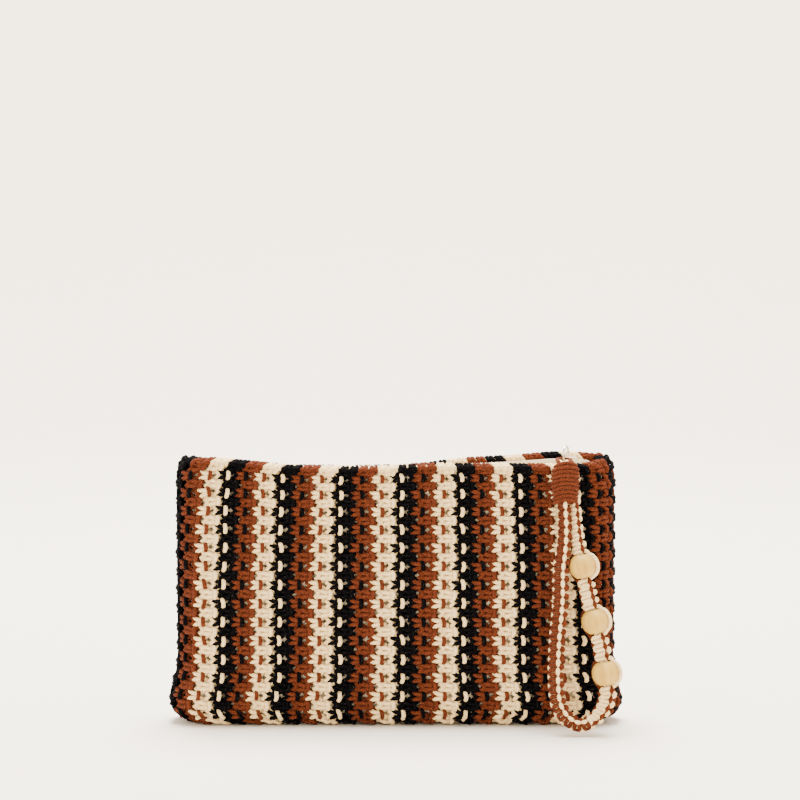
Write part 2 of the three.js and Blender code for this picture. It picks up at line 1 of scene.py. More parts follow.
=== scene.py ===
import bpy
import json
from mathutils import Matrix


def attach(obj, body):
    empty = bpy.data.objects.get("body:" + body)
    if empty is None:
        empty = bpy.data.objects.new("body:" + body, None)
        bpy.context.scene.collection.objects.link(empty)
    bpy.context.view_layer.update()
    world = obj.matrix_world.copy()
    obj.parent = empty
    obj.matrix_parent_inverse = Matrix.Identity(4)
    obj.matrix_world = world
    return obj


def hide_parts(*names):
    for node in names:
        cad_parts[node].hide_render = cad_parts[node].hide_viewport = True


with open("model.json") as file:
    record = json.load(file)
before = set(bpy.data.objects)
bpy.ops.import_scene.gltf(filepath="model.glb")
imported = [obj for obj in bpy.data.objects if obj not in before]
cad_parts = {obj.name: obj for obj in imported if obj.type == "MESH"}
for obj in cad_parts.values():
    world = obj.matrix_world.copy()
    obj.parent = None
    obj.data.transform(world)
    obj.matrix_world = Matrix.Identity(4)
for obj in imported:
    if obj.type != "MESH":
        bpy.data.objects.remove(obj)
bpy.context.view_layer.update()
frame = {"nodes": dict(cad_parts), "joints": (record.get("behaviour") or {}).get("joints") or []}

import json
import math

import bmesh
import bpy
import numpy as np
from mathutils import Vector

# Camera: a long lens a little above the mouth, square to the front and tipped down on it.
# Sizes in this script are millimetres until they are multiplied by mm; the studio's are metres.
mm = 0.001
camera_place = (2.7 * mm, -1380 * mm, 315 * mm)
camera_tip = 4.9


def in_scene(name, data):
    """A new object at the origin, linked to the scene."""
    made = bpy.data.objects.new(name, data)
    bpy.context.scene.collection.objects.link(made)
    return made


camera_data = bpy.data.cameras.new("camera")
camera_data.lens = 103
camera_data.sensor_width = 36
camera = in_scene("camera", camera_data)
camera.location = camera_place
camera.rotation_euler = (math.radians(90 - camera_tip), 0, 0)
bpy.context.scene.camera = camera

# Cord: soft cotton cord of three plies laid together, used for the knots and the whole strap.
# Matt and fibrous, so it has a faint sheen and no gloss; the plies show as slanting ribs, with shade
# painted into the grooves between them.
ply_lay = 5.2 * mm
ply_count = 3
ply_depth = 0.16 * mm
# The darker colour goes in as painted shade in the grooves between the plies, up to the first share,
# and as random mottle, up to the second.
ply_shade_share, mottle_share = 0.55, 0.45
mottle_scale, fibre_scale = 420, 3200


def linear(code):
    """An sRGB hex colour as the linear colour that a shader takes."""
    parts = [int(code[i:i + 2], 16) / 255 for i in (1, 3, 5)]
    return [c / 12.92 if c <= 0.04045 else ((c + 0.055) / 1.055) ** 2.4 for c in parts] + [1]


def add(tree, kind, inputs=(), **settings):
    """A new node with its settings; inputs go by name or number and take a value or a socket."""
    made = tree.nodes.new(kind)
    for name, value in settings.items():
        setattr(made, name, value)
    for key, value in dict(inputs).items():
        if isinstance(value, bpy.types.NodeSocket):
            tree.links.new(value, made.inputs[key])
        else:
            made.inputs[key].default_value = value
    return made


def blank(name):
    """A new material and its empty node tree."""
    material = bpy.data.materials.new(name)
    material.use_nodes = True
    material.node_tree.nodes.clear()
    return material, material.node_tree


def finished(tree, inputs):
    """Ends a material with one Principled shader."""
    shader = add(tree, "ShaderNodeBsdfPrincipled", inputs)
    add(tree, "ShaderNodeOutputMaterial", {0: shader.outputs[0]})


def cord_finish(name, colour, shade_and_mottle, roughness, sheen):
    """Laid cotton cord: ribs that follow the attribute lay, with painted shade in the grooves between
    the plies, and a random mottle.
    """
    material, tree = blank(name)
    lay = add(tree, "ShaderNodeAttribute", attribute_name="lay")
    parts = add(tree, "ShaderNodeSeparateXYZ", {0: lay.outputs["Vector"]})
    angle = add(tree, "ShaderNodeMath", {0: parts.outputs[1], 1: parts.outputs[0]}, operation="ARCTAN2")
    turns = add(tree, "ShaderNodeMath", {0: angle.outputs[0], 1: ply_count}, operation="MULTIPLY")
    phase = add(
        tree, "ShaderNodeMath",
        {0: parts.outputs[2], 1: 2 * math.pi * ply_count / ply_lay, 2: turns.outputs[0]},
        operation="MULTIPLY_ADD",
    )
    wave = add(tree, "ShaderNodeMath", {0: phase.outputs[0]}, operation="SINE")
    place = add(tree, "ShaderNodeTexCoord")
    mottle = add(
        tree, "ShaderNodeTexNoise",
        {"Vector": place.outputs["Object"], "Scale": mottle_scale, "Detail": 3},
    )
    fibre = add(
        tree, "ShaderNodeTexNoise",
        {"Vector": place.outputs["Object"], "Scale": fibre_scale, "Detail": 2},
    )
    # Painted shade: the darker colour where the wave is low, in the grooves between the plies.
    shade = add(tree, "ShaderNodeMapRange", {0: wave.outputs[0], 1: -1, 2: 0.2, 3: ply_shade_share, 4: 0})
    mixed = add(
        tree, "ShaderNodeMapRange",
        {0: mottle.outputs[0], 1: 0.35, 2: 0.7, 3: 0, 4: mottle_share},
    )
    share = add(
        tree, "ShaderNodeMath", {0: shade.outputs[0], 1: mixed.outputs[0]}, operation="ADD",
        use_clamp=True,
    )
    tint = add(
        tree, "ShaderNodeMix",
        {0: share.outputs[0], 6: linear(colour), 7: linear(shade_and_mottle)},
        data_type="RGBA",
    )
    ribs = add(
        tree, "ShaderNodeMath", {0: fibre.outputs[0], 1: 0.5, 2: wave.outputs[0]},
        operation="MULTIPLY_ADD",
    )
    bump = add(
        tree, "ShaderNodeBump", {"Strength": 0.8, "Distance": ply_depth, "Height": ribs.outputs[0]},
    )
    finished(tree, {
        "Base Color": tint.outputs[2],
        "Roughness": roughness,
        "Specular IOR Level": 0.03,
        "Sheen Weight": sheen,
        "Sheen Roughness": 0.5,
        "Normal": bump.outputs[0],
    })
    return material


# Each cord's second colour is its darker one: painted shade in the ply grooves, and random mottle.
black_cord = cord_finish("black_cotton_cord", "#09080a", "#050405", 0.8, 0.0)
rust_cord = cord_finish("rust_cotton_cord", "#602d19", "#431d0f", 0.85, 0.03)
cream_cord = cord_finish("cream_cotton_cord", "#f6dba5", "#d2b077", 0.85, 0.05)


def new_group(name, inputs, output):
    """A geometry node group with these inputs, their sockets, and one geometry output."""
    tree = bpy.data.node_groups.new(name, "GeometryNodeTree")
    for label, kind in inputs.items():
        tree.interface.new_socket(label, in_out="INPUT", socket_type="NodeSocket" + kind)
    tree.interface.new_socket(output, in_out="OUTPUT", socket_type="NodeSocketGeometry")
    return tree, add(tree, "NodeGroupInput").outputs


def ended(tree, geometry, finish):
    """Ends a geometry node group with real geometry in one finish."""
    real = add(tree, "GeometryNodeRealizeInstances", {"Geometry": geometry})
    dyed = add(tree, "GeometryNodeSetMaterial", {"Geometry": real.outputs[0], "Material": finish})
    add(tree, "NodeGroupOutput", {0: dyed.outputs[0]})
    return tree


def cord_tree():
    """Geometry nodes that lay a round cord along each line of a mesh."""
    inputs = {"Lines": "Geometry", "Diameter": "Float", "Sides": "Int", "Finish": "Material"}
    tree, given = new_group("laid_cord", inputs, "Cord")
    radius = add(tree, "ShaderNodeMath", {0: given["Diameter"], 1: 0.5}, operation="MULTIPLY")
    curve = add(tree, "GeometryNodeMeshToCurve", {"Mesh": given["Lines"]})
    length = add(tree, "GeometryNodeSplineParameter")
    run = add(tree, "GeometryNodeCaptureAttribute", {"Geometry": curve.outputs[0]})
    run.capture_items.new("FLOAT", "Run")
    tree.links.new(length.outputs["Length"], run.inputs["Run"])
    circle = add(
        tree, "GeometryNodeCurvePrimitiveCircle",
        {"Resolution": given["Sides"], "Radius": radius.outputs[0]},
    )
    place = add(tree, "GeometryNodeInputPosition")
    rounded = add(tree, "GeometryNodeCaptureAttribute", {"Geometry": circle.outputs[0]})
    rounded.capture_items.new("VECTOR", "Round")
    tree.links.new(place.outputs[0], rounded.inputs["Round"])
    swept = add(
        tree, "GeometryNodeCurveToMesh",
        {"Curve": run.outputs[0], "Profile Curve": rounded.outputs[0], "Fill Caps": True},
    )
    parts = add(tree, "ShaderNodeSeparateXYZ", {0: rounded.outputs["Round"]})
    lay = add(
        tree, "ShaderNodeCombineXYZ",
        {0: parts.outputs[0], 1: parts.outputs[1], 2: run.outputs["Run"]},
    )
    stored = add(
        tree, "GeometryNodeStoreNamedAttribute",
        {"Geometry": swept.outputs[0], "Name": "lay", "Value": lay.outputs[0]},
        data_type="FLOAT_VECTOR", domain="POINT",
    )
    smooth = add(tree, "GeometryNodeSetShadeSmooth", {"Geometry": stored.outputs[0]})
    return ended(tree, smooth.outputs[0], given["Finish"])


laid_cord = cord_tree()


def grown(name, seed_mesh, tree, values):
    """Runs a node tree on a mesh and keeps the result as a plain mesh object."""
    seed = in_scene(name + "_seed", seed_mesh)
    modifier = seed.modifiers.new("grow", "NODES")
    modifier.node_group = tree
    for item in tree.interface.items_tree:
        if item.name in values:
            modifier[item.identifier] = values[item.name]
    graph = bpy.context.evaluated_depsgraph_get()
    mesh = bpy.data.meshes.new_from_object(
        seed.evaluated_get(graph), preserve_all_data_layers=True, depsgraph=graph,
    )
    bpy.data.objects.remove(seed)
    return in_scene(name, mesh)


def cords(name, paths, diameter, sides, finish, closed=False):
    """One piece of cords that follow these paths."""
    points = np.concatenate(paths)
    edges = []
    first = 0
    for path in paths:
        count = len(path)
        edges += [(first + i, first + i + 1) for i in range(count - 1)]
        if closed:
            edges.append((first + count - 1, first))
        first += count
    mesh = bpy.data.meshes.new(name + "_lines")
    mesh.from_pydata(points.tolist(), edges, [])
    values = {"Diameter": diameter, "Sides": sides, "Finish": finish}
    return grown(name, mesh, laid_cord, values)


# Shape of the bag that the knotted cloth and the lining follow: flat at the base, fullest low
# down, thin at the lips, with drawn-out lower corners. The mouth sags between its corners, more
# at the back than at the front.
pouch_height = 165.5
side_half = 134
ear_reach, ear_height, ear_spread = 5, 14, 14
lower_corner, upper_corner = 11, 11
base_half_depth, belly_half_depth, lip_half_depth = 14, 22, 12.5
belly_height, belly_fullness, shoulder_curve = 42, 3, 1.8
end_roundness = 1.15
end_points, face_points = 16, 120
sag_fade = 8
front_sag_x = [-134, -109, -86, -64, -28, -6, 22, 109, 124, 134]
front_sag = [4, 2.1, 4.4, 6.9, 7.8, 7.4, 5.7, 6.2, 4.8, 4]
back_sag_x = [-134, -99, -64, -28, 0, 20, 38, 72, 95, 109, 123, 134]
back_sag = [4, 5.5, 9, 9.5, 9, 7.5, 4.6, 2.7, 0.6, 0.7, 1.9, 4]


def edge_drop(share):
    """How far a quarter circle has dropped at a share of its radius."""
    return 1 - np.sqrt(np.maximum(0, 1 - np.clip(share, 0, 1) ** 2))


def half_depth(z):
    """Half the body's depth at a height."""
    below = (1 - np.clip(z / belly_height, 0, 1)) ** belly_fullness
    full = (1 - below) ** (1 / belly_fullness)
    lower = base_half_depth + (belly_half_depth - base_half_depth) * full
    up = np.clip((z - belly_height) / (pouch_height - belly_height), 0, None)
    upper = lip_half_depth + (belly_half_depth - lip_half_depth) * (1 - up ** shoulder_curve)
    return np.where(z < belly_height, lower, upper)


def depth_at(z):
    """Half the body's depth at one height, as a single number."""
    return half_depth(np.array([z]))[0]


def half_width(z):
    """Half the body's width at a height."""
    ear = ear_reach * np.exp(-(((z - ear_height) / ear_spread) ** 2))
    low = lower_corner * edge_drop(1 - np.clip(z, 0, None) / lower_corner)
    high = upper_corner * edge_drop((z - pouch_height + upper_corner) / upper_corner)
    return side_half + ear - low - high


def sagged(x, z, back):
    """Height of a nominal level; back goes from 0 on the front to 1 on the back."""
    front_share = np.interp(x, front_sag_x, front_sag) * (1 - back)
    sag = front_share + np.interp(x, back_sag_x, back_sag) * back
    return z - sag * (np.clip(z, 0, None) / pouch_height) ** sag_fade


def outline(z, inset):
    """Front and back halves of the body's outline, each from the left end to the right end."""
    run = end_roundness * half_depth(z)
    turn = half_width(z) - run
    quarter = np.linspace(0, np.pi / 2, end_points)
    x = np.concatenate([
        -turn - (run - inset) * np.cos(quarter),
        np.linspace(-turn, turn, face_points)[1:-1],
        turn + (run - inset) * np.sin(quarter),
    ])
    round_off = np.concatenate([np.sin(quarter), np.ones(face_points - 2), np.cos(quarter)])
    halves = []
    for side in (-1, 1):
        height = sagged(x, z, (1 + side * round_off) / 2)
        depth = side * round_off * (half_depth(height) - inset)
        halves.append(np.stack([x, depth, height], 1))
    return halves


# Knotted cloth: alternating square knots in stripes one column wide, black, rust and cream.
# Each column has four strands; in every other row its knots share strands with the next column.
column_count, front_columns = 46, 23
left_end, right_end = -0.45, front_columns
drift_u, drift = [-0.45, 2, 5, 8, 11, 14, 23], [0, -1, -3.4, -3.3, -1.5, 0, 0]
column_pitch = 12.3
cloth_half = 3.7
base_clearance = 1.1
row_step = 5.62
first_row = 5.6
grid_step = 1.25
samples = 12
rim_spare = 6
fine_below, upper_levels, lower_levels, base_levels = 12, 320, 60, 12
level_step, steepest = 0.02, 40

nominal = np.concatenate([
    np.linspace(pouch_height + rim_spare, fine_below, upper_levels),
    fine_below * np.linspace(1, 0, lower_levels)[1:] ** 2.5,
])
slope = (half_depth(nominal + level_step) - half_depth(nominal - level_step)) / (2 * level_step)
slope = np.clip(slope, -2, steepest)
slope[-1] = steepest
inward = cloth_half / np.sqrt(1 + slope ** 2)
lift = (cloth_half + base_clearance) * slope / np.sqrt(1 + slope ** 2)
base_run = np.linspace(0, base_half_depth - 1, base_levels)[1:]
nominal = np.concatenate([nominal, 0 * base_run])
inward = np.concatenate([inward, inward[-1] + base_run])
lift = np.concatenate([lift, lift[-1] + 0 * base_run])
middle_y = half_depth(nominal) - inward
middle_z = nominal + lift
steps = np.hypot(np.diff(middle_y), np.diff(middle_z))
down = np.concatenate([[0], np.cumsum(steps)])
down -= np.interp(-pouch_height, -nominal, down)
rows_down = np.arange(down[0], down[-1], grid_step)
turn_end = column_count + left_end


def cloth_row(z, inset, raise_by):
    """One row of the cloth's middle surface, at equal steps of a column from the left end."""
    front, back = outline(z, inset)
    back = back[::-1]
    u = left_end + np.arange(column_count * samples) / samples
    row = np.empty((len(u), 3))
    for half, low, high in ((front, left_end, right_end), (back, right_end, turn_end)):
        run = np.concatenate([[0], np.cumsum(np.hypot(*np.diff(half[:, :2], axis=0).T))])
        mine = (u >= low) & (u < high)
        along = (u[mine] - low) / (high - low) * run[-1]
        if half is front:
            along += np.interp(u[mine], drift_u, drift)
        for axis in range(3):
            row[mine, axis] = np.interp(along, run, half[:, axis])
    row[:, 2] += raise_by
    return row


cloth = np.array([
    cloth_row(
        np.interp(t, down, nominal), np.interp(t, down, inward), np.interp(t, down, lift),
    )
    for t in rows_down
])
across = np.roll(cloth, -1, 1) - np.roll(cloth, 1, 1)
cloth_normal = np.cross(np.gradient(cloth, axis=0), across)
cloth_normal /= np.linalg.norm(cloth_normal, axis=2, keepdims=True)


def on_cloth(u, t, w):
    """Points on the cloth: u in columns round the body, t down from the rim, w outwards."""
    column = np.mod((np.asarray(u) - left_end) * samples, column_count * samples)
    row = np.clip((np.asarray(t) - rows_down[0]) / grid_step, 0, len(rows_down) - 1.001)
    i, j = row.astype(int), column.astype(int)
    a, b = (row - i)[..., None], (column - j)[..., None]
    j %= column_count * samples
    k = (j + 1) % (column_count * samples)

    def blended(grid):
        upper = grid[i, j] * (1 - b) + grid[i, k] * b
        lower = grid[i + 1, j] * (1 - b) + grid[i + 1, k] * b
        return upper * (1 - a) + lower * a

    return (blended(cloth) + blended(cloth_normal) * np.asarray(w)[..., None]) * mm


# A square knot: its two fillers run straight through. The right worker makes both bars of the
# front, the left worker passes behind and comes up over the bars' right ends as one bump. Knots
# that lie on the body's side edges are pressed flat there.
def whole(half, flip_x, flip_y):
    """A cord's route through a knot, from its first half and the mirror image of that."""
    return half + [(flip_x * x, flip_y * y, w) for x, y, w in half[-2::-1]]


left_worker = whole([
    (-5.0, -1.7, 1.3), (-3.6, -0.75, 1.6), (-2.6, -0.2, 0.4), (0, -0.9, -2.3), (1.9, -1.8, -1.7),
    (2.15, -2.7, 0.3), (2.45, -1.9, 2.7), (2.85, 0, 3.5),
], 1, -1)
right_worker = whole([
    (4.3, -2.0, -0.1), (2.7, -1.35, 0.8), (0.8, -1.0, 2.3), (-1.2, -1.5, 2.4), (-2.9, -2.15, 1.4),
    (-3.9, -2.0, -0.4), (-3.9, 0, -1.2),
], 1, -1)
left_filler = [(-1.2, -1.2, 0), (-1.2, 1.2, 0)]
right_filler = [(1.2, -1.2, 0), (1.2, 1.2, 0)]
strand_links = (-4.85, -1.3, 1.3, 4.85)
link_lift = 0.5
own_roles = (left_worker, left_filler, right_filler, right_worker)
shared_roles = (right_filler, right_worker, left_worker, left_filler)
knot_cord = 2.6 * mm
knot_sides = 7
own_width, shared_width = 1.22, 1.1
end_press = 1.6
last_run, last_w = 1, -2.5
slack_across, slack_along, slack_angle = 0.22, 0.18, math.radians(5)
row_count = int((down[-1] - first_row) / row_step) + 1
rng = np.random.default_rng(11)
slack_x = rng.normal(0, slack_across, (row_count, 2 * column_count))
slack_y = rng.normal(0, slack_along, (row_count, 2 * column_count))
slack_turn = rng.normal(0, slack_angle, (row_count, 2 * column_count))


def strand(column, place):
    """One strand from its first knot down to the base, as u, t and w."""
    points = []
    for row in range(row_count):
        own = row % 2 == 0
        role = own_roles[place] if own else shared_roles[place]
        knot = column if own else column + (0.5 if place > 1 else -0.5)
        index = int(2 * knot) % (2 * column_count)
        turn = slack_turn[row, index]
        wide = own_width if own else shared_width
        highest = end_press if knot % front_columns == front_columns - 0.5 else math.inf
        t = first_row + row * row_step
        for x, y, w in role:
            turned_x = wide * x * math.cos(turn) - y * math.sin(turn) + slack_x[row, index]
            turned_y = wide * x * math.sin(turn) + y * math.cos(turn) + slack_y[row, index]
            points.append((knot + turned_x / column_pitch, t + turned_y, min(w, highest)))
        points.append((column + strand_links[place] / column_pitch, t + row_step / 2, link_lift))
    points[-1] = (points[-2][0], points[-2][1] + last_run, last_w)
    return points


# Mount: each cord is folded in half and looped over the holder cord, so a column has two loops.
# Its strands pass over the holder and out under the loop's bar, which crosses their front.
holder_t, holder_w = 2.9, -0.5
mount_shift = 3.07
half_mount = [
    (1.28, 1.5, 1.0), (1.28, 0, 2.2), (1.28, -1.6, 1.6), (1.28, -2.3, 0.2), (1.3, -1.6, -1.2),
    (1.5, 0, -1.8), (2.0, 1.4, -1.1), (2.3, 1.9, 0.6), (2.1, 0.9, 2.9), (1.2, 0, 3.9), (0.3, -0.3, 4.1),
]


def mount(column, side):
    """The fold of one cord over the holder, from its left strand to its right one."""
    middle = column + side * mount_shift / column_pitch
    left, right = (
        [(middle + turn * x / column_pitch, holder_t + y, holder_w + w) for x, y, w in half_mount]
        for turn in (-1, 1)
    )
    return left + right[::-1]


def column_paths(column):
    """The two folded cords of a column, each from the base up over the holder and down again."""
    paths = []
    for side, first in ((-1, 0), (1, 2)):
        route = strand(column, first)[::-1] + mount(column, side) + strand(column, first + 1)
        u, t, w = np.array(route).T
        paths.append(on_cloth(u, t, w))
    return paths


cloth_nodes = [name for name in frame["nodes"] if name.startswith(("knotted_", "rim_"))]
stripe_finish = {"black": black_cord, "rust": rust_cord, "cream": cream_cord}


def stripe_of(column):
    """0 black, 1 rust, 2 cream; each side starts with black, and the last column is black again."""
    return 0 if column == column_count - 1 else column % column_count % front_columns % 3


for panel, first, last in (("front", 0, front_columns), ("back", front_columns, column_count)):
    for stripe, (colour, finish) in enumerate(stripe_finish.items()):
        paths = []
        for column in range(first, last):
            if stripe_of(column) == stripe:
                paths += column_paths(column)
        piece = cords(f"knots_{colour}_{panel}", paths, knot_cord, knot_sides, finish)
        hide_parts(*cloth_nodes)
        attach(piece, "pouch")

# Holder cord: a cream cotton cord that runs round the mouth inside the loops of the rim, laid
# along one closed line of the cloth.
holder_cord, holder_sides = 2.9 * mm, 8
holder_u = np.arange(0, column_count, 0.25)
holder_path = on_cloth(holder_u, holder_t, holder_w)
holder = cords(
    "holder_cord_loop", [holder_path], holder_cord, holder_sides, cream_cord, closed=True,
)
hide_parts("holder_cord")
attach(holder, "pouch")

# Lining: a cream cotton bag, slack inside the knots and pressed into the gaps between them, at the
# columns' sides and, less where they are cream, in their middles. One rectangle folded at the base
# and sewn at one end, thickness by a modifier, plain weave on its own UV.
lining_top = 3.5
side_gap_w, stripe_gap_w = -0.6, (-1.6, -0.6, -6)
lining_w_t, lining_w = (3.5, 5.6, 8.4, 14), (-3.7, -3.2, -2.5, -2.1)
crease_depth, crease_start, crease_fade = 0.9, 8, 20
weave_scale, weave_depth = 560, 0.08 * mm
lining_thickness = 0.5 * mm
lining_cotton, lining_tree = blank("cream_cotton_lining")
threads = add(lining_tree, "ShaderNodeTexCoord")
thread_inputs = {"Vector": threads.outputs["UV"], "Scale": weave_scale, "Distortion": 0.6}
warp = add(lining_tree, "ShaderNodeTexWave", thread_inputs, bands_direction="X")
weft = add(lining_tree, "ShaderNodeTexWave", thread_inputs, bands_direction="Y")
weave = add(lining_tree, "ShaderNodeMath", {0: warp.outputs[1], 1: weft.outputs[1]}, operation="ADD")
raised = add(lining_tree, "ShaderNodeBump", {"Distance": weave_depth, "Height": weave.outputs[0]})
finished(lining_tree, {
    "Base Color": linear("#fbeccb"), "Roughness": 0.9, "Specular IOR Level": 0.1,
    "Normal": raised.outputs[0],
})
crease_rng = np.random.default_rng(5)
crease_waves = crease_rng.uniform([2, 0.01, 0], [9, 0.05, 2 * math.pi], (7, 3))


def creased(turn, t):
    """How far the lining stands in from its even place, from 0 to about 1."""
    folds = sum(np.sin(a * turn + b * t + c) for a, b, c in crease_waves)
    share = 0.5 + 0.5 * folds / math.sqrt(len(crease_waves))
    return np.clip(share, 0, 1) * np.clip((t - crease_start) / crease_fade, 0, 1)


def joined_mesh(name, points, faces, finish):
    """A mesh in millimetres, smooth, with one finish, as a linked object."""
    mesh = bpy.data.meshes.new(name)
    mesh.from_pydata((np.asarray(points) * mm).tolist(), [], faces)
    mesh.polygons.foreach_set("use_smooth", [True] * len(mesh.polygons))
    mesh.materials.append(finish)
    return in_scene(name, mesh)


def strips(rows, count, closed):
    """Faces between rows of equally many points; the first row is the upper one."""
    wrap = count if closed else count - 1
    faces = []
    for upper in range(0, (rows - 1) * count, count):
        lower = upper + count
        for i in range(wrap):
            beside = (i + 1) % count
            faces.append((upper + i, lower + i, lower + beside, upper + beside))
    return faces


lining_u = left_end + np.arange(4 * column_count + 1) / 4
half_rows = np.arange(int(2 * (down[-1] - first_row) / row_step) + 1)
lining_rows, lining_uvs = [], []
for t, half_row in zip([lining_top, *(first_row + half_rows * row_step / 2)], [-1, *half_rows]):
    in_gap = (np.round(4 * (lining_u - left_end)) + half_row) % 4 == 0
    in_gap &= half_row > 1 and half_row % 2 == 0
    w = np.interp(t, lining_w_t, lining_w)
    w = w - crease_depth * creased(2 * math.pi * lining_u / column_count, t)
    middle_gap = [stripe_gap_w[stripe_of(round(u) % column_count)] for u in lining_u]
    w = np.where(in_gap, middle_gap if half_row % 4 == 2 else side_gap_w, w)
    lining_rows.append(on_cloth(lining_u, t, w) / mm)
    lining_uvs.append(np.stack([lining_u * column_pitch * mm, np.full(len(lining_u), t * mm)], 1))
lining_rows[-1][:, 1] = 0
lining = joined_mesh(
    "lining_bag", np.concatenate(lining_rows), strips(len(lining_rows), len(lining_u), False),
    lining_cotton,
)
lining_uv = lining.data.uv_layers.new(name="weave")
loop_points = np.array([loop.vertex_index for loop in lining.data.loops])
lining_uv.data.foreach_set("uv", np.concatenate(lining_uvs)[loop_points].ravel())
thickness = lining.modifiers.new("thickness", "SOLIDIFY")
thickness.thickness = lining_thickness
thickness.offset = -1
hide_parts("lining")
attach(lining, "pouch")

# Zip tapes: two ribbed cotton strips beside the teeth, turned down inside the lining and sewn with
# a row of small stitches. The strips are swept profiles, the stitches one short thread repeated.
tape_end_gap = 15.5
tape_half_length = side_half - tape_end_gap
tape_middle = pouch_height - 11.2
tape_inner, tape_knee, tape_down, tape_wall = 1.2, 4.5, 8.6, 7.1
tape_fold = [(0.8, 0), (0.2, 0.3)]
tape_thickness, tape_stations = 0.8, 78
stitch_size, stitch_low, stitch_high, stitch_round = (0.9, 0.22), -0.2, 0.25, 0.12
stitch_y, stitch_lift, stitch_step, seam_margin = 5.2, 0.4, 2.6, 3
rib_scale, rib_depth = 300, 0.12 * mm
tape_weave, tape_tree = blank("cream_ribbed_tape")
place = add(tape_tree, "ShaderNodeTexCoord")
rib = add(
    tape_tree, "ShaderNodeTexWave",
    {"Vector": place.outputs["Object"], "Scale": rib_scale, "Distortion": 0.4},
    bands_direction="DIAGONAL",
)
rib_bump = add(tape_tree, "ShaderNodeBump", {"Distance": rib_depth, "Height": rib.outputs[1]})
finished(tape_tree, {
    "Base Color": linear("#f3e2bd"), "Roughness": 0.85, "Normal": rib_bump.outputs[0],
})


def repeated_tree():
    """Geometry nodes that set copies of one object at equal steps along a line."""
    inputs = {"Lines": "Geometry", "Copy": "Object", "Step": "Float", "Finish": "Material"}
    tree, given = new_group("repeated_along", inputs, "Row")
    curve = add(tree, "GeometryNodeMeshToCurve", {"Mesh": given["Lines"]})
    spots = add(
        tree, "GeometryNodeCurveToPoints", {"Curve": curve.outputs[0], "Length": given["Step"]},
        mode="LENGTH",
    )
    shape = add(tree, "GeometryNodeObjectInfo", {"Object": given["Copy"]})
    copies = add(
        tree, "GeometryNodeInstanceOnPoints",
        {"Points": spots.outputs[0], "Instance": shape.outputs["Geometry"]},
    )
    return ended(tree, copies.outputs[0], given["Finish"])


repeated_along = repeated_tree()


def row_of(name, shape, start, end, step, finish):
    """Copies of a shape along a straight line, as one piece; the shape itself goes."""
    mesh = bpy.data.meshes.new(name + "_line")
    mesh.from_pydata([[c * mm for c in start], [c * mm for c in end]], [(0, 1)], [])
    values = {"Copy": shape, "Step": step * mm, "Finish": finish}
    piece = grown(name, mesh, repeated_along, values)
    bpy.data.objects.remove(shape)
    return piece


def block(name, corners, low, high, edge, finish):
    """A prism over corners in X and Y, in millimetres, with rounded edges."""
    count = len(corners)
    points = [(x, y, z) for z in (low, high) for x, y in corners]
    faces = [tuple(range(count))[::-1], tuple(range(count, 2 * count))]
    faces += [(i, (i + 1) % count, count + (i + 1) % count, count + i) for i in range(count)]
    piece = joined_mesh(name, points, faces, finish)
    eased(piece.data, edge * mm, 1)
    return piece


def eased(mesh, width, segments):
    """Rounds the edges of a mesh at which its faces turn by more than 20 degrees."""
    shape = bmesh.new()
    shape.from_mesh(mesh)
    bmesh.ops.remove_doubles(shape, verts=shape.verts, dist=0.001 * mm)
    bmesh.ops.dissolve_limit(
        shape, angle_limit=math.radians(1), verts=shape.verts, edges=shape.edges,
    )
    sharp = [edge for edge in shape.edges if edge.calc_face_angle(0) > math.radians(20)]
    bmesh.ops.bevel(
        shape, geom=sharp, offset=width, segments=segments, profile=0.5, affect="EDGES",
        clamp_overlap=True,
    )
    shape.to_mesh(mesh)
    mesh.set_sharp_from_angle(angle=math.radians(50))


for side, panel in ((-1, "front"), (1, "back")):
    edge = depth_at(tape_middle) - tape_wall
    section = [(tape_inner, tape_middle), (tape_knee, tape_middle)]
    section += [(edge - inset, tape_middle - drop) for inset, drop in tape_fold]
    for z in np.linspace(tape_middle - 1, tape_middle - tape_down, 4):
        section.append((depth_at(z) - tape_wall, z))
    stations = np.linspace(-tape_half_length, tape_half_length, tape_stations)
    points = [(x, side * y, z) for y, z in section for x in stations]
    faces = strips(len(section), len(stations), False)
    if side > 0:
        faces = [face[::-1] for face in faces]
    tape = joined_mesh("tape_" + panel + "_strip", points, faces, tape_weave)
    thick = tape.modifiers.new("thickness", "SOLIDIFY")
    thick.thickness = tape_thickness * mm
    thick.offset = 0
    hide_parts("tape_" + panel)
    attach(tape, "pouch")
    x, y = stitch_size
    stitch = block(
        "stitch", [(-x, -y), (x, -y), (x, y), (-x, y)], stitch_low, stitch_high, stitch_round,
        tape_weave,
    )
    seam_end = tape_half_length - seam_margin
    seam_ends = [(x, side * stitch_y, tape_middle + stitch_lift) for x in (-seam_end, seam_end)]
    seam = row_of("tape_stitches_" + panel, stitch, *seam_ends, stitch_step, tape_weave)
    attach(seam, "pouch")

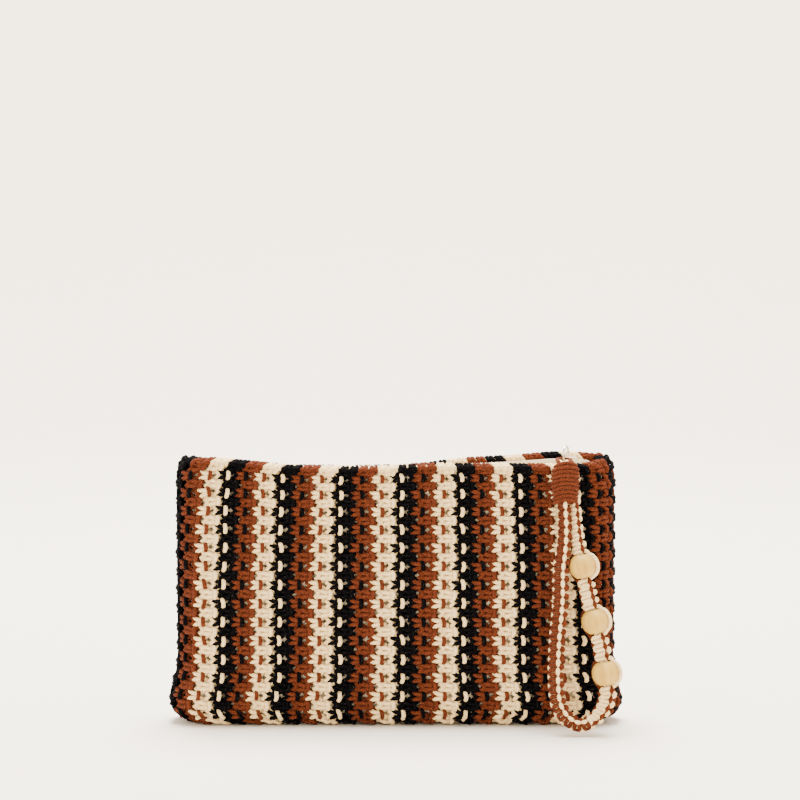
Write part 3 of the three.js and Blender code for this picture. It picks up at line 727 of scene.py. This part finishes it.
# Zip teeth: one moulded nylon tooth repeated along each tape, the two rows half a step apart so
# that their heads lie between each other's, over the corded edge of the tape.
tooth_pitch, tooth_half, tooth_flare = 2.4, 0.45, 0.12
teeth_low, teeth_high = pouch_height - 10.5, pouch_height - 8.9
teeth_left, teeth_right = -110.7, 110.7
tooth_head, tooth_neck, tooth_root, tooth_round = -0.9, 0.9, 3.1, 0.18
zip_cord, zip_cord_y, zip_cord_z, zip_cord_points = 1.15 * mm, 2.75, teeth_low + 0.75, 60
nylon, nylon_tree = blank("cream_moulded_nylon")
finished(nylon_tree, {"Base Color": linear("#f2e0bc"), "Roughness": 0.35})
for side, panel, shift in ((-1, "front", 0.25), (1, "back", 0.75)):
    shape = [
        (-tooth_half - tooth_flare, side * tooth_head), (tooth_half + tooth_flare, side * tooth_head),
        (tooth_half - tooth_flare, side * tooth_neck), (tooth_half, side * tooth_root),
        (-tooth_half, side * tooth_root), (-tooth_half + tooth_flare, side * tooth_neck),
    ]
    tooth = block("tooth", shape, teeth_low, teeth_high, tooth_round, nylon)
    start = teeth_left + shift * tooth_pitch
    teeth = row_of(
        "zip_teeth_" + panel, tooth, (start, 0, 0), (teeth_right - tooth_pitch / 4, 0, 0),
        tooth_pitch, nylon,
    )
    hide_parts("teeth_" + panel)
    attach(teeth, "pouch")
    zip_cord_x = np.linspace(teeth_left, teeth_right, zip_cord_points)
    zip_cord_path = np.array([(x, side * zip_cord_y, zip_cord_z) for x in zip_cord_x]) * mm
    corded = cords("zip_cord_" + panel, [zip_cord_path], zip_cord, 8, cream_cord)
    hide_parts("teeth_" + panel)
    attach(corded, "pouch")

# Zip stops and slider: the solids with rounded edges. The stops are nylon like the teeth; the
# slider is a metal casting under cream enamel with a soft gloss.
enamel, enamel_tree = blank("cream_enamel")
finished(enamel_tree, {
    "Base Color": linear("#f0dfbb"), "Roughness": 0.3, "Coat Weight": 0.4, "Coat Roughness": 0.15,
})
stop_edge, slider_edge, edge_segments = 0.35, 0.3, 3
for node, edge, finish, body in (
    ("top_stop_front", stop_edge, nylon, "pouch"), ("top_stop_back", stop_edge, nylon, "pouch"),
    ("bottom_stop", stop_edge, nylon, "pouch"), ("slider", slider_edge, enamel, "slider"),
):
    mesh = frame["nodes"][node].data.copy()
    mesh.materials.clear()
    mesh.materials.append(finish)
    mesh.polygons.foreach_set("use_smooth", [True] * len(mesh.polygons))
    eased(mesh, edge * mm, edge_segments)
    piece = in_scene(node + "_eased", mesh)
    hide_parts(node)
    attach(piece, body)

# Wire ring: drawn steel wire, bent round and closed, bright but finely scratched. A round section
# swept about the place and the axis of the strap's joint.
ring_joint = next(joint for joint in frame["joints"] if joint["name"] == "strap_lift")
ring_centre = np.array(ring_joint["pos_m"]) / mm
ring_axis = np.array(ring_joint["axis"])
ring_radius, wire_radius = 5, 0.75
ring_steps, wire_steps = 72, 16


def full_turn(count):
    """Angles at equal steps once round."""
    return np.linspace(0, 2 * math.pi, count, endpoint=False)


bright_steel, steel_tree = blank("drawn_steel_wire")
place = add(steel_tree, "ShaderNodeTexCoord")
scratch = add(
    steel_tree, "ShaderNodeTexNoise", {"Vector": place.outputs["Object"], "Scale": 2200, "Detail": 2},
)
scratch_bump = add(
    steel_tree, "ShaderNodeBump",
    {"Strength": 0.3, "Distance": 0.02 * mm, "Height": scratch.outputs[0]},
)
finished(steel_tree, {
    "Base Color": linear("#d8d8d6"), "Metallic": 1, "Roughness": 0.2, "Normal": scratch_bump.outputs[0],
})
ring_turn, wire_turn = np.meshgrid(full_turn(ring_steps), full_turn(wire_steps), indexing="ij")
ring_out = np.cross(ring_axis, [0, 0, 1])
reach = (ring_radius + wire_radius * np.cos(wire_turn))[..., None]
spoke = np.cos(ring_turn)[..., None] * ring_out + np.sin(ring_turn)[..., None] * [0, 0, 1]
ring_points = ring_centre + reach * spoke + wire_radius * np.sin(wire_turn)[..., None] * ring_axis
ring_faces = strips(ring_steps, wire_steps, True)
last = (ring_steps - 1) * wire_steps
for i in range(wire_steps):
    beside = (i + 1) % wire_steps
    ring_faces.append((last + i, i, beside, last + beside))
ring = joined_mesh("wire_ring", ring_points.reshape(-1, 3), ring_faces, bright_steel)
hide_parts("ring")
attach(ring, "ring")

# Strap head: two folded cords hang round the ring, rust over cream, come forward over the lip and
# end with the strap's other cords in a bundle, bound by a whipping of touching turns.
strap_lean, ring_lean = math.radians(9.03), math.radians(20)
strap_drop = 5.5
strap_top = pouch_height - strap_drop
strap_x = ring_centre[0] - ring_radius * ring_axis[1]
whipping_height, whipping_turns = 24, 10
whipping_half_width, whipping_half_depth = 7.7, 4.4
whipping_level, whipping_waist = (-24, -16, -9, -4, -1), (-1.3, -0.3, 0, -0.3, -1.8)
lip_gap, whipping_wall = 0.6, 1.75
strap_y = -(depth_at(strap_top) + lip_gap + whipping_half_depth + whipping_wall / 2)
strap_cord, whipping_cord = 2.5, 2.35
bight_sides, strap_sides = 12, 10
bight_overhang, bight_end, bight_run = 2, 0.6, 2
curve_steps, bight_step, arc_points = 24, 0.6, 9


def smooth_line(points, step):
    """Centripetal Catmull-Rom curve through points, as points at equal steps of its length."""
    points = np.asarray(points, float)
    points = np.vstack([2 * points[0] - points[1], points, 2 * points[-1] - points[-2]])
    fine = []
    for a, b, c, d in zip(points, points[1:], points[2:], points[3:]):
        before, here, after = (math.sqrt(np.linalg.norm(q - p)) for p, q in ((a, b), (b, c), (c, d)))
        leave = here * ((b - a) / before - (c - a) / (before + here) + (c - b) / here)
        arrive = here * ((c - b) / here - (d - b) / (here + after) + (d - c) / after)
        t = np.linspace(0, 1, curve_steps, endpoint=False)[:, None]
        fine.append(
            b + leave * t + (3 * (c - b) - 2 * leave - arrive) * t ** 2
            + (2 * (b - c) + leave + arrive) * t ** 3
        )
    fine = np.vstack([*fine, points[-2][None]])
    run = np.concatenate([[0], np.cumsum(np.linalg.norm(np.diff(fine, axis=0), axis=1))])
    even = np.linspace(0, run[-1], max(2, round(run[-1] / step)))
    return np.stack([np.interp(even, run, fine[:, axis]) for axis in range(3)], 1)


def from_strap(points):
    """From the strap's leaning plane, x across, y back and z up from the whipping's top."""
    x, y, z = np.asarray(points, float).T
    cos, sin = math.cos(strap_lean), math.sin(strap_lean)
    return np.stack([strap_x + x, strap_y + y * cos + z * sin, strap_top - y * sin + z * cos], 1) * mm


def bight_path(rise, half_width, gap, leg_x, leg_y):
    """A hairpin round the ring, rise over its middle; its legs end at these places in the bundle."""
    height = ring_centre[2] + rise
    back = ring_centre[1] - ring_radius * math.cos(ring_lean) + gap
    bend_y = -depth_at(pouch_height) - bight_overhang
    leg_end = strap_top + bight_end
    legs = []
    for side, x, y in zip((-1, 1), leg_x, leg_y):
        bend = (0.6 * x + 0.4 * side * half_width, bend_y, height)
        turn = (x, 0.65 * (strap_y + y) + 0.35 * bend_y, 0.2 * leg_end + 0.8 * height)
        legs.append([(x, strap_y + y, leg_end - bight_run), (x, strap_y + y, leg_end), turn, bend])
    arc = [
        (half_width * -math.cos(turn), back - half_width * (1 - math.sin(turn)), height)
        for turn in np.linspace(0, math.pi, arc_points)
    ]
    points = np.array(legs[0] + arc + legs[1][::-1])
    points[:, 0] += strap_x
    return smooth_line(points, bight_step) * mm


for name, finish, rise, half_width, gap, leg_x, leg_y in (
    ("rust", rust_cord, -2.9, 3.8, 2.45, (-3.9, 3.9), (-1.3, -1.3)),
    ("cream", cream_cord, -4.2, 2.1, 3.05, (-0.4, 0.9), (1.1, -1.1)),
):
    route = bight_path(rise, half_width, gap, leg_x, leg_y)
    bight = cords(name + "_bight_cord", [route], strap_cord * mm, bight_sides, finish)
    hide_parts(name + "_bight")
    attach(bight, "strap")


def barrel(z):
    """How much the bundle and its turns stand in at a height, below their fullest."""
    return np.interp(z, whipping_level, whipping_waist)


bundle_places = [(x, y) for y in (-1.25, 1.25) for x in (-3.75, -1.25, 1.25, 3.75)]
bundle_top, bundle_over, bundle_spread, bundle_follow = 0.4, 0.3, 1.05, 0.6
for name, finish, chosen in (("rust", rust_cord, (0, 3, 5, 6)), ("cream", cream_cord, (1, 2, 4, 7))):
    paths = []
    for index in chosen:
        x, y = bundle_places[index]
        z = np.linspace(bundle_top, -whipping_height - bundle_over, 14)
        swell = bundle_spread + bundle_follow * barrel(z) / whipping_half_width
        paths.append(from_strap(np.stack([x * swell, y * swell, z], 1)))
    bundle = cords(name + "_bundle", paths, strap_cord * mm, strap_sides, finish)
    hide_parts("cord_bundle")
    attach(bundle, "strap")

turn_samples = 48
whipping_arch, whipping_tilt = 1.7, 0.9
coil_start, coil_pitch, coil_depth_share = -0.2, 2.42, 0.4
tail_x, tail_y, tail_z = 1.6, 2.2, 2.5
coil = []
for i in range(turn_samples * whipping_turns + 1):
    angle = 2 * math.pi * i / turn_samples + math.pi / 2
    z = coil_start - coil_pitch * i / turn_samples
    swell = barrel(z)
    coil.append((
        (whipping_half_width + swell) * math.cos(angle),
        (whipping_half_depth + coil_depth_share * swell) * math.sin(angle),
        z + whipping_arch * max(0, -math.sin(angle)) ** 2 + whipping_tilt * math.cos(angle),
    ))
coil.insert(0, (-tail_x, tail_y, -tail_z))
coil.append((tail_x, tail_y, -whipping_height + tail_z))
whipping = cords("whipping_turns", [from_strap(coil)], whipping_cord * mm, strap_sides, rust_cord)
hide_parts("whipping")
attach(whipping, "strap")

# Sennits: square knots of laid cotton cord in one row round the loop of the strap. Down to the foot
# the rust worker makes the bars and the cream one the bumps beside them, and from there the other
# way round. Both pass outside the beads while the fillers run through their bores.
top_bead, middle_bead, low_bead = (10, -61.3), (17.2, -94), (23.2, -124.6)
left_leg = [
    (-0.9, -24), (-0.5, -40), (-1.3, -52), (-2.7, -63), (-3.2, -82), (-5.4, -106.5), (-6.1, -128.5),
    (-4.6, -143), (0.6, -151.8), (8.4, -155.7),
]
right_leg = [
    (16.4, -152.4), (22.4, -144.6), (24.6, -135.5), low_bead, (21.1, -110.2), middle_bead,
    (13.4, -77.6), top_bead, (7.1, -44.5), (6.3, -34), (5.8, -24),
]
leg_offset = 1.2
knot_slant = 0.15
left_turn, right_turn = math.radians(34), math.radians(8)
turn_from, turn_to = 0.42, 0.56
left_pinch, right_pinch, pinch_run = 0.76, 0.5, 36
bead_radius, bead_flat, bead_bore = 8, 1.2, 3.2
sennit_cord, sennit_pitch = 2.5, 5.2
knot_across, knot_along, knot_out = 1.1, 0.82, 0.6
foot, foot_outer_waist, foot_inner_waist, foot_length = (12, -154.5), 0.42, 0.15, 13
loop_step, worked_step, filler_step = 0.25, 0.55, 1.5
filler_half_gap, filler_over = 1.15, 4
knots_over_start, knots_over_end, worker_over, worker_across = 1.5, 1, 6, 3
bead_gap, rust_link, cream_link = 0.7, 4.0, -3.8


def smoothstep(value, low, high):
    """0 up to low and 1 from high on, with a smooth rise between."""
    share = np.clip((value - low) / (high - low), 0, 1)
    return share ** 2 * (3 - 2 * share)


def leg_point(x, z, side):
    """A point of the loop in the strap's plane; the legs part to front and back near the head."""
    return x, side * leg_offset * smoothstep(z, top_bead[1], -whipping_height), z


loop = smooth_line(
    [leg_point(x, z, -1) for x, z in left_leg] + [leg_point(x, z, 1) for x, z in right_leg],
    loop_step,
)
loop_run = np.concatenate([[0], np.cumsum(np.linalg.norm(np.diff(loop, axis=0), axis=1))])
loop_length = loop_run[-1]
loop_along = np.gradient(loop, axis=0)
loop_along /= np.linalg.norm(loop_along, axis=1, keepdims=True)
turned = smoothstep(loop_run / loop_length, turn_from, turn_to)
loop_turn = left_turn + (right_turn - left_turn) * turned
sennit_face = np.stack([-np.sin(loop_turn), -np.cos(loop_turn), 0 * loop_turn], 1)
loop_out = sennit_face - loop_along * (loop_along * sennit_face).sum(1, keepdims=True)
loop_out /= np.linalg.norm(loop_out, axis=1, keepdims=True)
loop_across = np.cross(loop_out, loop_along)


def place_on_loop(point):
    """How far along the loop its nearest place to a point lies."""
    target = np.array([point[0], 0, point[1]])
    return loop_run[np.argmin(np.linalg.norm(loop - target, axis=1))]


foot_run = place_on_loop(foot)


def on_loop(run, across, out):
    """Points beside the loop, in the strap's plane; runs past its ends go straight on."""
    run, across, out = (np.asarray(values, float) for values in (run, across, out))
    inside = np.clip(run, 0, loop_length)

    def at(grid):
        return np.stack([np.interp(inside, loop_run, grid[:, axis]) for axis in range(3)], 1)

    beyond = (run - inside)[:, None] * at(loop_along)
    pinch = np.interp(run, [0, pinch_run], [left_pinch, 1])
    pinch = pinch * np.interp(loop_length - run, [0, pinch_run], [right_pinch, 1])
    waist = np.where(across < 0, foot_outer_waist, foot_inner_waist)
    pinch = (pinch * (1 - waist * np.exp(-(((run - foot_run) / foot_length) ** 2))))[:, None]
    return at(loop) + beyond + at(loop_across) * across[:, None] * pinch + at(loop_out) * out[:, None]


bead_runs = [place_on_loop(bead) for bead in (low_bead, middle_bead, top_bead)]
bead_half = bead_radius - bead_flat
knot_margin = bead_half + bead_gap
rust_passing = whole([(-6.6, 5.3, -2.2), (-4.8, 6.3, -4.3), (0, 7.3, -5.4)], -1, 1)
cream_passing = whole([(-6.6, -5.6, 0), (-4.8, -7.8, 0.4), (0, -9.1, 0.6)], -1, 1)
sennit_starts = [-knots_over_start] + [run + knot_margin for run in bead_runs]
sennit_ends = [run - knot_margin for run in bead_runs] + [loop_length + knots_over_end]
bump_role = whole([
    (-3.6, -2.2, 0.4), (-2.7, -0.9, -0.9), (0, -0.9, -2.3), (1.2, -1.3, -1.8), (1.8, -2.1, -0.7),
    (2.05, -1.65, 1.9), (2.2, 0, 3.0),
], 1, -1)
bars_role = whole([
    (4.0, -2.5, 0.1), (2.6, -1.9, 0.9), (0.8, -1.65, 2.1), (-1.2, -1.6, 2.1), (-2.7, -1.6, 1.6),
    (-3.4, -1.4, 0.2), (-3.4, 0, -1.0),
], 1, -1)
rust_route, cream_route = [(-worker_over, worker_across, 0)], [(-worker_over, -worker_across, 0)]
for index, (start, end) in enumerate(zip(sennit_starts, sennit_ends)):
    knots = max(1, round((end - start) / sennit_pitch))
    pitch = (end - start) / knots
    for knot in range(knots):
        middle = start + (knot + 0.5) * pitch
        rust_role, cream_role, side = bars_role, bump_role, 1
        if middle > foot_run:
            rust_role, cream_role, side = bump_role, bars_role, -1
        for role, route, link in (
            (rust_role, rust_route, rust_link), (cream_role, cream_route, cream_link),
        ):
            for x, y, w in role:
                along = middle + (y - knot_slant * side * x) * knot_along
                route.append((along, side * x * knot_across, w * knot_out))
            if knot < knots - 1:
                route.append((middle + pitch / 2, link * knot_across, 0))
    if index < 3:
        for route, passing in ((rust_route, rust_passing), (cream_route, cream_passing)):
            route += [(bead_runs[index] + along, across, out) for along, across, out in passing]
rust_route.append((loop_length + worker_over, worker_across, 0))
cream_route.append((loop_length + worker_over, -worker_across, 0))
sennit_nodes = ["long_sennit", "sennit_1", "sennit_2", "sennit_3"]
for name, route, finish in (("rust", rust_route, rust_cord), ("cream", cream_route, cream_cord)):
    worked = smooth_line(on_loop(*np.array(route).T), worked_step)
    sennit = cords(
        "sennit_worker_" + name, [from_strap(worked)], sennit_cord * mm, strap_sides, finish,
    )
    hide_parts(*sennit_nodes)
    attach(sennit, "strap")
filler_run = np.arange(-filler_over, loop_length + filler_over, filler_step)
filler_paths = [
    from_strap(on_loop(filler_run, np.full(len(filler_run), across), np.zeros(len(filler_run))))
    for across in (-filler_half_gap, filler_half_gap)
]
fillers = cords("sennit_fillers", filler_paths, sennit_cord * mm, strap_sides, cream_cord)
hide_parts(*sennit_nodes)
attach(fillers, "strap")

# Beads: turned wooden balls with a bore and a small flat at each end of it, oiled, with pale grain
# that runs along the bore. The grain follows an attribute laid out along each bead's own axis.
bead_wood, wood_tree = blank("pale_turned_wood")
own = add(wood_tree, "ShaderNodeAttribute", attribute_name="grain")
figure = add(
    wood_tree, "ShaderNodeTexNoise",
    {"Vector": own.outputs["Vector"], "Scale": 1, "Detail": 4, "Distortion": 0.4},
)
streak = add(wood_tree, "ShaderNodeMapRange", {0: figure.outputs[0], 1: 0.35, 2: 0.68, 3: 0, 4: 1})
grain = add(
    wood_tree, "ShaderNodeMix",
    {0: streak.outputs[0], 6: linear("#c6a046"), 7: linear("#b28a38")}, data_type="RGBA",
)
wood_bump = add(
    wood_tree, "ShaderNodeBump", {"Strength": 0.4, "Distance": 0.05 * mm, "Height": figure.outputs[0]},
)
finished(wood_tree, {
    "Base Color": grain.outputs[2], "Roughness": 0.5, "Specular IOR Level": 0.25,
    "Normal": wood_bump.outputs[0],
})
bore_ease, flat_rise = 0.2, 0.05
bead_levels, around = 28, 48
bead_profile = [(bead_bore, -bead_half), (bead_bore + bore_ease, -bead_half - flat_rise)]
edge_turn = math.asin(bead_half / bead_radius)
for turn in np.linspace(-edge_turn, edge_turn, bead_levels):
    bead_profile.append((bead_radius * math.cos(turn), bead_radius * math.sin(turn)))
bead_profile += [(bead_bore + bore_ease, bead_half + flat_rise), (bead_bore, bead_half)]
grain_scale = np.array([300, 300, 45])
for name, run, seed in zip(("bead_3", "bead_2", "bead_1"), bead_runs, (3.1, 7.7, 12.4)):
    index = np.argmin(abs(loop_run - run))
    axes = np.array([loop_across[index], loop_out[index], loop_along[index]])
    local = np.array([
        (r * math.cos(a), r * math.sin(a), h) for r, h in bead_profile for a in full_turn(around)
    ])
    points = from_strap(loop[index] + local @ axes) / mm
    faces = [face[::-1] for face in strips(len(bead_profile), around, True)]
    last = (len(bead_profile) - 1) * around
    faces += [(last + i, last + (i + 1) % around, (i + 1) % around, i) for i in range(around)]
    bead = joined_mesh(name + "_turned", points, faces, bead_wood)
    lines = bead.data.attributes.new("grain", "FLOAT_VECTOR", "POINT")
    lines.data.foreach_set("vector", (local * mm * grain_scale + seed).ravel())
    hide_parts(name)
    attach(bead, "strap")

# Backdrop and light: a pale round floor that curves up into a wall on all sides, under a broad soft
# light overhead, with a weaker one from the upper left and one on the wall behind.
floor_finish, floor_tree = blank("pale_floor")
finished(floor_tree, {"Base Color": linear("#eae2d6"), "Roughness": 0.9})
middle_radius, floor_radius, cove_radius, wall_height = 0.3, 1.6, 0.7, 3.2
floor_sides, cove_levels = 96, 13
cove = [(middle_radius, 0), (floor_radius, 0)]
for angle in np.linspace(0, math.pi / 2, cove_levels)[1:]:
    cove.append((floor_radius + cove_radius * math.sin(angle), cove_radius * (1 - math.cos(angle))))
cove.append((floor_radius + cove_radius, wall_height))
corners = [
    (r * math.cos(a) / mm, r * math.sin(a) / mm, z / mm) for r, z in cove
    for a in full_turn(floor_sides)
]
faces = strips(len(cove), floor_sides, True) + [tuple(range(floor_sides))]
floor = joined_mesh("floor", corners, faces, floor_finish)


def soft_light(name, place, target, size, power):
    """A square area light at a place, turned to a target."""
    data = bpy.data.lights.new(name, "AREA")
    data.size = size
    data.energy = power
    light = in_scene(name, data)
    light.location = place
    light.rotation_euler = (Vector(target) - Vector(place)).to_track_quat("-Z", "Y").to_euler()


soft_light("overhead_light", place=(0, 0.55, 2.1), target=(0, 0.1, 0), size=1.1, power=195)
soft_light("key_light", place=(-0.9, -1.3, 1.6), target=(0, 0, 0.08), size=1.2, power=8)
soft_light("backdrop_light", place=(0, 0.3, 2.2), target=(0, 1.8, 0.5), size=2.0, power=120)
world = bpy.data.worlds.new("studio")
world.use_nodes = True
background = world.node_tree.nodes["Background"]
background.inputs["Color"].default_value = linear("#ffffff")
background.inputs["Strength"].default_value = 0.13
bpy.context.scene.world = world
